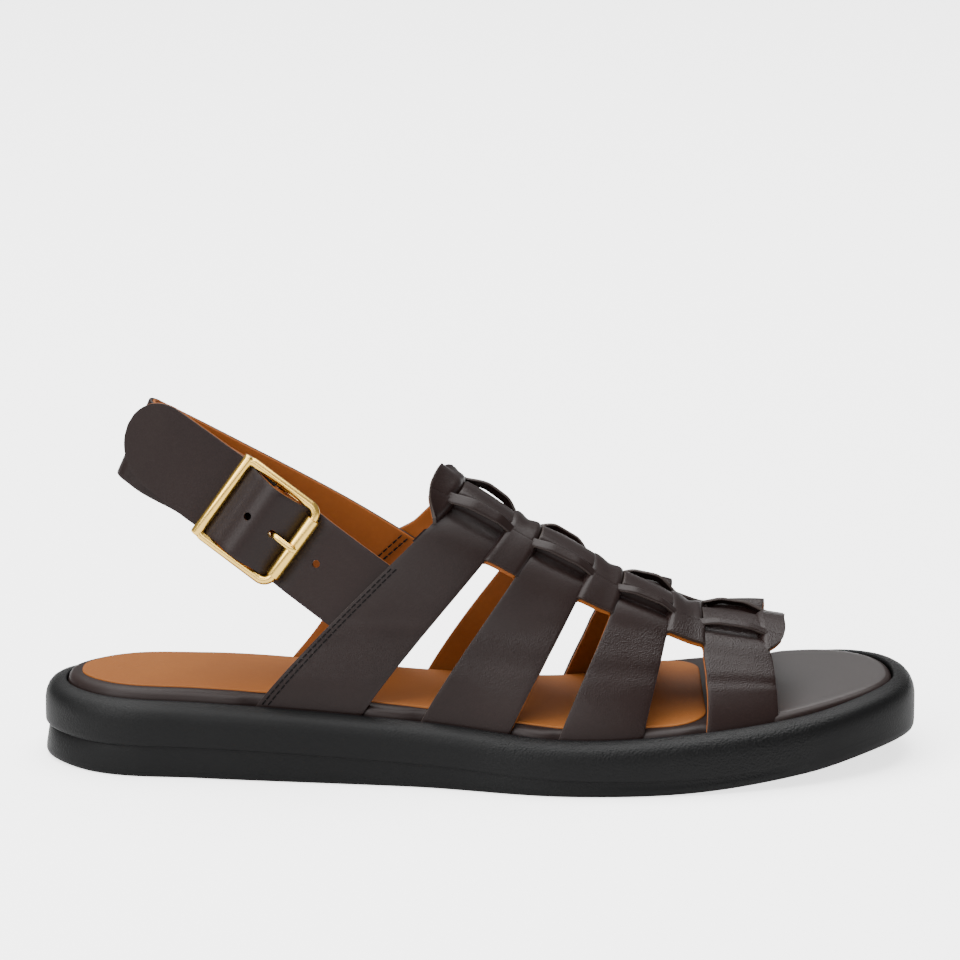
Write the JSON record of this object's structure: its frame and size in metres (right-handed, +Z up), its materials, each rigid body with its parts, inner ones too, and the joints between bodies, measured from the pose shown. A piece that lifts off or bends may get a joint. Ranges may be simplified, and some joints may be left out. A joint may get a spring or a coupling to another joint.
{
  "type": "gladiator sandal",
  "caption": "Flat right-foot sandal: cross straps woven through a centre band, a buckled strap round the heel, a tan-lined footbed and a black cup sole.",
  "frame": {"origin": "on the floor, under the middle of the sole's length and width", "axes": "+X from the heel to the toe, +Z up from the floor, -Y to the lateral (outer) side, where the buckle is"},
  "size_m": [0.264, 0.0946, 0.109],
  "materials": {
    "sole_rubber": "semi-matte moulded rubber",
    "brown_leather": "smooth dark brown leather, tan on its lining side",
    "tan_leather": "smooth tan lining leather",
    "buckle_brass": "polished pale gold plating"
  },
  "bodies": {
    "root": {"outsole": "sole_rubber", "footbed": "brown_leather", "insole_sock": "tan_leather", "upper": "brown_leather", "buckle_strap": "brown_leather", "heel_strap": "brown_leather", "buckle_frame": "buckle_brass", "buckle_roller": "buckle_brass", "buckle_prong": "buckle_brass"}
  },
  "joints": []
}
